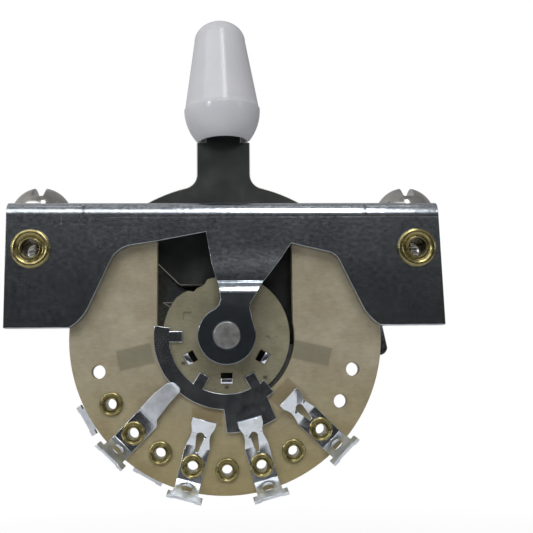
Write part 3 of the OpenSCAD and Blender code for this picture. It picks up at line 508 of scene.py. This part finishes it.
# The shaft and the spacer: turned steel. The shaft's front end is faced off and stands in the tongue.
steel = finish("turned_steel", (0.42, 0.42, 0.42), metallic=1.0)
about_shaft = add(steel, "Mapping", [("Vector", place(steel)), ("Location", (0, 0, -shaft_z))])
lathe = add(steel, "TexWave", [("Vector", about_shaft.outputs["Vector"]), ("Scale", 2600.0),
                               ("Distortion", 2.0), ("Detail", 1.0)],
            wave_type="RINGS", rings_direction="Y").outputs["Fac"]
wear = grain(steel, 0.0007, detail=4)
feed(steel, "Base Color", graded(steel, wear, (0.3, (0.28, 0.28, 0.27)), (0.7, (0.46, 0.46, 0.46))))
feed(steel, "Roughness", spread(steel, wear, 0.25, 0.45))
relief(steel, lathe, 0.000004)
for node, piece in (("shaft", "turned_shaft"), ("rotor_spacer", "turned_spacer")):
    coated(softened(node, piece, 0.00008), steel)

# The lever: one plate of 1.5 mm steel, blanked with its fan, index edge and tang, blued black in oxide.
# Its fan closes the slot and is greyer than the neck, and its broken edges are painted pale as a highlight.


def edge_highlight_of(material):
    """1 on the broken edges of a stamping and 0 on its flats and cut walls. A broken edge turns from the
    sheet's face, whose normal is along y, to a wall across it, so the size of its normal's y is between."""
    turn = add(material, "SeparateXYZ", [("Vector", add(material, "TexCoord").outputs["Normal"])])
    size = add(material, "Math", [(0, turn.outputs["Y"])], operation="ABSOLUTE").outputs[0]
    return times(material, stepped(material, size, 0.2, 0.4), stepped(material, size, 0.96, 0.85))


oxide = finish("black_oxide", (0.022, 0.024, 0.024), metallic=0.6, specular_ior_level=0.5)
bloom = grain(oxide, 0.0022, detail=5)
scuff = grain(oxide, 0.00012, stretch=(1, 1, 5), detail=2)
tone = graded(oxide, bloom, (0.3, (0.018, 0.02, 0.021)), (0.6, (0.028, 0.031, 0.031)),
              (0.8, (0.042, 0.046, 0.045)))
neck_foot, fan_top = 0.0052, 0.0034
tone = mixed(oxide, stepped(oxide, along(oxide, "Z"), neck_foot, fan_top), tone,
             mixed(oxide, 1.0, tone, (1.7, 1.7, 1.6), "MULTIPLY"))
# The broken edges are painted pale: a painted highlight.
feed(oxide, "Base Color", mixed(oxide, edge_highlight_of(oxide), tone, (0.75, 0.73, 0.66)))
feed(oxide, "Roughness", spread(oxide, mixed(oxide, 0.5, bloom, scuff), 0.3, 0.5))
relief(oxide, scuff, 0.000004)
coated(softened("lever_plate", "blanked_lever", 0.00012, 3), oxide)

# The tip: glossy white plastic moulded hollow, pushed on the tang. A crease parts its bulged foot from
# the cone, the rim is rounded over, and the top is a flat dome.
tip_rim, tip_bulge, tip_crease, tip_round, tip_top = 0.0029, 0.00436, 0.00375, 0.0024, 0.00295
tip_tall, tip_wall, tip_recess = 0.0143, 0.00035, 0.0026
tip_lean, tip_foot = radians(1.6), Vector((-0.0002, -0.0001, 0.00795))


def moulded_tip(piece, turns=96):
    """A turned surface, leaning to the left about the middle of its rim. From the recess it goes down
    the inner wall, round the rim, up the foot's circular arc to the crease, up the straight cone, and
    over a quarter ellipse to the top."""
    arc_r = ((tip_bulge - tip_rim) ** 2 + tip_crease ** 2) / (2 * (tip_bulge - tip_rim))
    climb = np.linspace(0.1, 1, 26)
    foot_angle = np.arcsin(tip_crease / arc_r) * (1 - climb)
    foot = np.stack([tip_bulge - arc_r + arc_r * np.cos(foot_angle),
                     tip_crease - arc_r * np.sin(foot_angle)], 1)
    lip_angle = np.linspace(-np.pi, -0.15 * np.pi, 9)
    lip = np.stack([tip_rim - tip_wall / 2 + tip_wall / 2 * np.cos(lip_angle),
                    tip_wall / 2 + tip_wall / 2 * np.sin(lip_angle)], 1)
    inner = np.array([(0, tip_recess), (tip_rim - tip_wall, tip_recess), (tip_rim - tip_wall, tip_wall)])
    crease = np.array([(tip_bulge - 0.00004, tip_crease + 0.00003),
                       (tip_bulge - 0.0001, tip_crease + 0.0001)])
    rise = np.linspace(0.05, 0.97, 20)[:, None]
    shoulder = np.array([(tip_top, tip_tall - tip_round)])
    cone = crease[-1:] * (1 - rise) + shoulder * rise
    over = np.linspace(0, np.pi / 2, 26)
    dome = np.stack([tip_top * np.cos(over), tip_tall - tip_round + tip_round * np.sin(over)], 1)
    section = np.concatenate([inner, lip, foot, crease, cone, dome])
    angle = np.linspace(0, 2 * np.pi, turns, endpoint=False)[None, :]
    rings = np.stack([section[:, :1] * np.cos(angle), section[:, :1] * np.sin(angle),
                      np.broadcast_to(section[:, 1:], (len(section), turns))], axis=-1)
    made = carried(rings, piece, close_loop=False)
    made.data.transform(Matrix.Translation(tip_foot) @ Matrix.Rotation(-tip_lean, 4, "Y"))
    return made


white = finish("white_moulding", (0.56, 0.565, 0.6), roughness=0.2, specular_ior_level=0.4,
               subsurface_weight=0.08, subsurface_radius=(0.001, 0.001, 0.001))
smear = grain(white, 0.004, detail=3)
feed(white, "Base Color", graded(white, smear, (0.3, (0.54, 0.545, 0.585)), (0.7, (0.6, 0.6, 0.63))))
feed(white, "Roughness", spread(white, smear, 0.16, 0.24))
relief(white, grain(white, 0.0009, detail=2), 0.000005)
tip = moulded_tip("moulded_tip")
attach(tip, "lever")
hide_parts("tip")
coated(tip, white)

# The detent: a stamped arm on a shouldered rivet, a hardened roller on its pin, and the spring that
# pulls the roller into the notches of the lever's index edge.
for node, piece in (("detent_arm", "stamped_arm"), ("detent_roller", "hardened_roller"),
                    ("roller_pin", "peened_pin"), ("arm_pivot", "shouldered_rivet")):
    coated(softened(node, piece, 0.00007), steel)

# The spring: a drawn out coil of bright music wire, hooked through the arm at one end and through the
# rear leg at the other. It keeps the solid's own surface.
wire = finish("music_wire", (0.5, 0.5, 0.5), metallic=1.0)
drawn = grain(wire, 0.0004, detail=3)
feed(wire, "Base Color", graded(wire, drawn, (0.3, (0.34, 0.34, 0.35)), (0.7, (0.56, 0.56, 0.57))))
feed(wire, "Roughness", spread(wire, drawn, 0.22, 0.4))
coated(frame["nodes"]["detent_spring"], wire)

# The room: a pale floor under the switch that ends in front and fades into the white around, a white
# surround that is dark straight in front, where the camera stands, a narrow bright light and a broad
# dim one above the front, and a small one on each side.
floor_reach, floor_front, floor_level = 1.5, -0.22, -0.06
corners = [(-floor_reach, floor_front, floor_level), (floor_reach, floor_front, floor_level),
           (floor_reach, floor_reach, floor_level), (-floor_reach, floor_reach, floor_level)]
floor_mesh = bpy.data.meshes.new("floor")
floor_mesh.from_pydata(corners, [], [(0, 1, 2, 3)])
floor = bpy.data.objects.new("floor", floor_mesh)
bpy.context.scene.collection.objects.link(floor)
pale = finish("pale_floor", (0.85, 0.85, 0.85), roughness=0.8)
seen = add(pale, "LightPath").outputs["Is Camera Ray"]
glow = add(pale, "Emission", [("Color", (1, 1, 1, 1)), ("Strength", 1.0)])
away = add(pale, "VectorMath", [(0, place(pale))], operation="LENGTH").outputs["Value"]
fade = add(pale, "MapRange", [("Value", away), ("From Min", 0.07), ("From Max", 0.2), ("To Min", 0.8),
                              ("To Max", 1.0)]).outputs["Result"]
both = add(pale, "MixShader", [(0, times(pale, seen, fade)),
                               (1, pale.node_tree.nodes["Principled BSDF"].outputs[0]),
                               (2, glow.outputs[0])])
pale.node_tree.links.new(both.outputs[0], pale.node_tree.nodes["Material Output"].inputs["Surface"])
coated(floor, pale)

world = bpy.data.worlds.new("surround")
bpy.context.scene.world = world
world.use_nodes = True
background = world.node_tree.nodes["Background"]
facing = world.node_tree.nodes.new("ShaderNodeTexCoord").outputs["Generated"]
split = world.node_tree.nodes.new("ShaderNodeSeparateXYZ")
world.node_tree.links.new(facing, split.inputs[0])


def graded_axis(axis, low, high, from_level, to_level):
    """The surround's level along one axis of the direction, eased from one level to another."""
    made = world.node_tree.nodes.new("ShaderNodeMapRange")
    made.interpolation_type = "SMOOTHSTEP"
    for socket, value in (("From Min", low), ("From Max", high),
                          ("To Min", from_level), ("To Max", to_level)):
        made.inputs[socket].default_value = value
    world.node_tree.links.new(split.outputs[axis], made.inputs["Value"])
    return made.outputs["Result"]


def combined(operation, first, second):
    """Two levels of the surround joined by a Math operation."""
    made = world.node_tree.nodes.new("ShaderNodeMath")
    made.operation = operation
    for socket, value in zip(made.inputs, (first, second)):
        world.node_tree.links.new(value, socket)
    return made.outputs[0]


around = combined("MULTIPLY", graded_axis("Y", -0.97, -0.1, 0.0, 1.0),
                  graded_axis("X", -0.8, 0.8, 0.6, 0.2))
above = graded_axis("Z", 0.04, 0.55, 0.028, 0.35)
rays = world.node_tree.nodes.new("ShaderNodeLightPath")
level = combined("MAXIMUM", combined("MAXIMUM", around, above), rays.outputs["Is Camera Ray"])
world.node_tree.links.new(level, background.inputs["Strength"])
background.inputs["Color"].default_value = (1, 1, 1, 1)


def soft_light(name, where, wide, tall, watts):
    """A rectangular lamp at a point, facing the middle of the switch."""
    lamp = bpy.data.lights.new(name, "AREA")
    lamp.shape = "RECTANGLE"
    lamp.size, lamp.size_y, lamp.energy = wide, tall, watts
    made = bpy.data.objects.new(name, lamp)
    made.location = where
    made.rotation_euler = (middle - Vector(where)).to_track_quat("-Z", "Y").to_euler()
    bpy.context.scene.collection.objects.link(made)


middle = Vector((0, 0, -0.005))
soft_light("narrow_window", (0.045, -0.24, 0.24), 0.06, 0.22, 0.3)
soft_light("broad_ceiling", (-0.13, -0.25, 0.25), 0.46, 0.16, 0.48)
soft_light("left_side", (-0.2, -0.24, 0.07), 0.05, 0.05, 0.13)
soft_light("right_side", (0.26, -0.2, 0.06), 0.05, 0.05, 0.04)

camera = bpy.data.cameras.new("camera")
camera.sensor_width, camera.lens, camera.clip_start = 36.0, 59.1, 0.001
viewer = bpy.data.objects.new("camera", camera)
viewer.location = (-0.00105, -0.09843, -0.01864)
viewer.rotation_euler = (radians(97.03), radians(0.67), radians(-3.22))
bpy.context.scene.collection.objects.link(viewer)
bpy.context.scene.camera = viewer
bpy.context.scene.view_settings.view_transform = "Standard"
